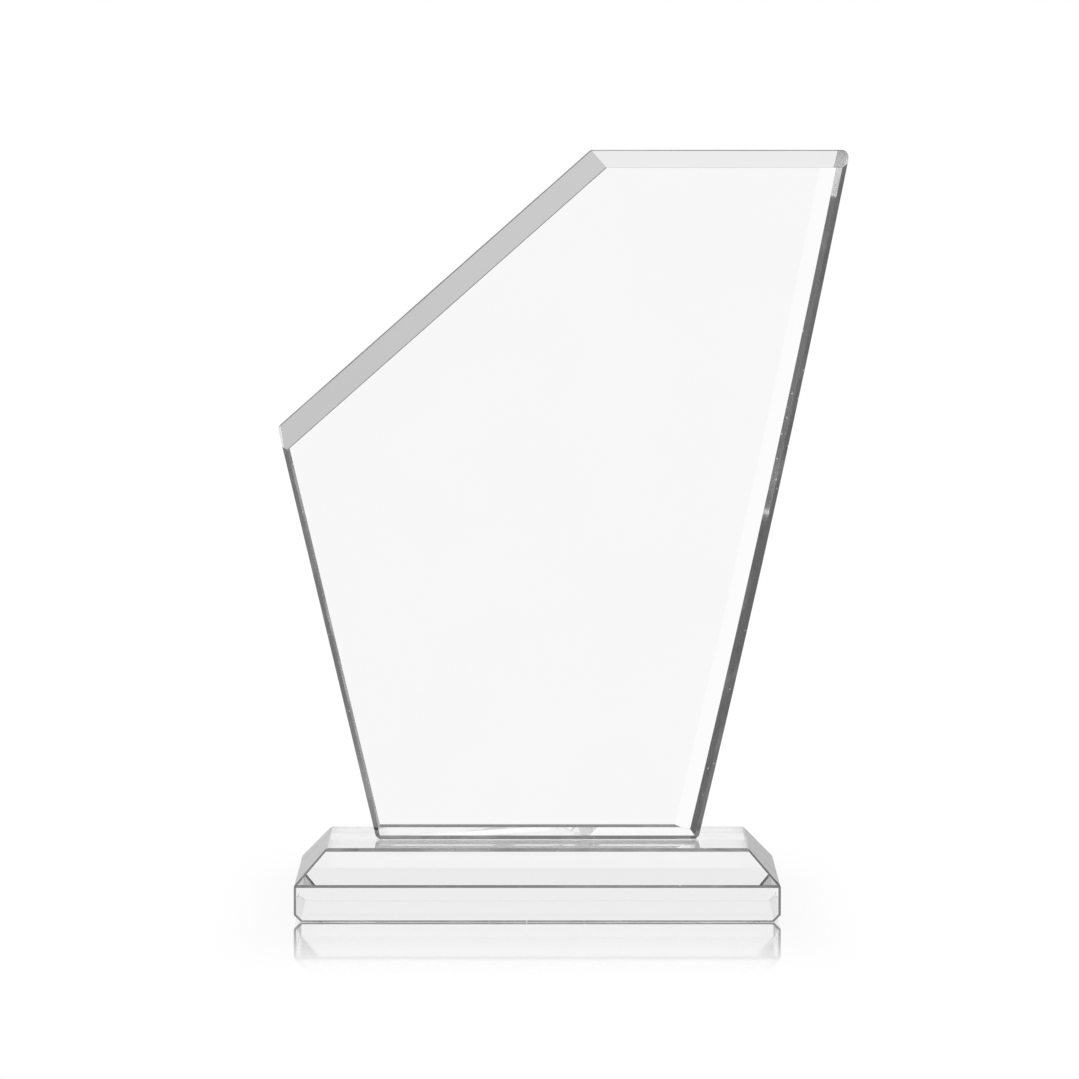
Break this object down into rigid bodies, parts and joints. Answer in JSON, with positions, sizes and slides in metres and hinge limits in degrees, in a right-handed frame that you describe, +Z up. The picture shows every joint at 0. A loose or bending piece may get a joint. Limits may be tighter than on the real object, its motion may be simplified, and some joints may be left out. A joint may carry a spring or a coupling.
{
  "type": "crystal award",
  "caption": "Clear crystal award: a tall slanted plaque with bevelled top and shoulder, bonded upright on a low chamfered crystal base.",
  "frame": {"origin": "centre of the base's flat underside, on the surface the award stands on", "axes": "+Z up the plaque; the engraved front faces -Y; +X is on the viewer's right, the side of the taller edge"},
  "size_m": [0.1558, 0.07, 0.208],
  "materials": {
    "plaque_crystal": "clear optical crystal, polished flat facets",
    "base_crystal": "clear optical crystal, polished flat facets",
    "cured_adhesive": "clear UV-cured adhesive film"
  },
  "bodies": {
    "root": {"base_block": "base_crystal", "bond_film": "cured_adhesive", "plaque": "plaque_crystal"}
  },
  "joints": []
}
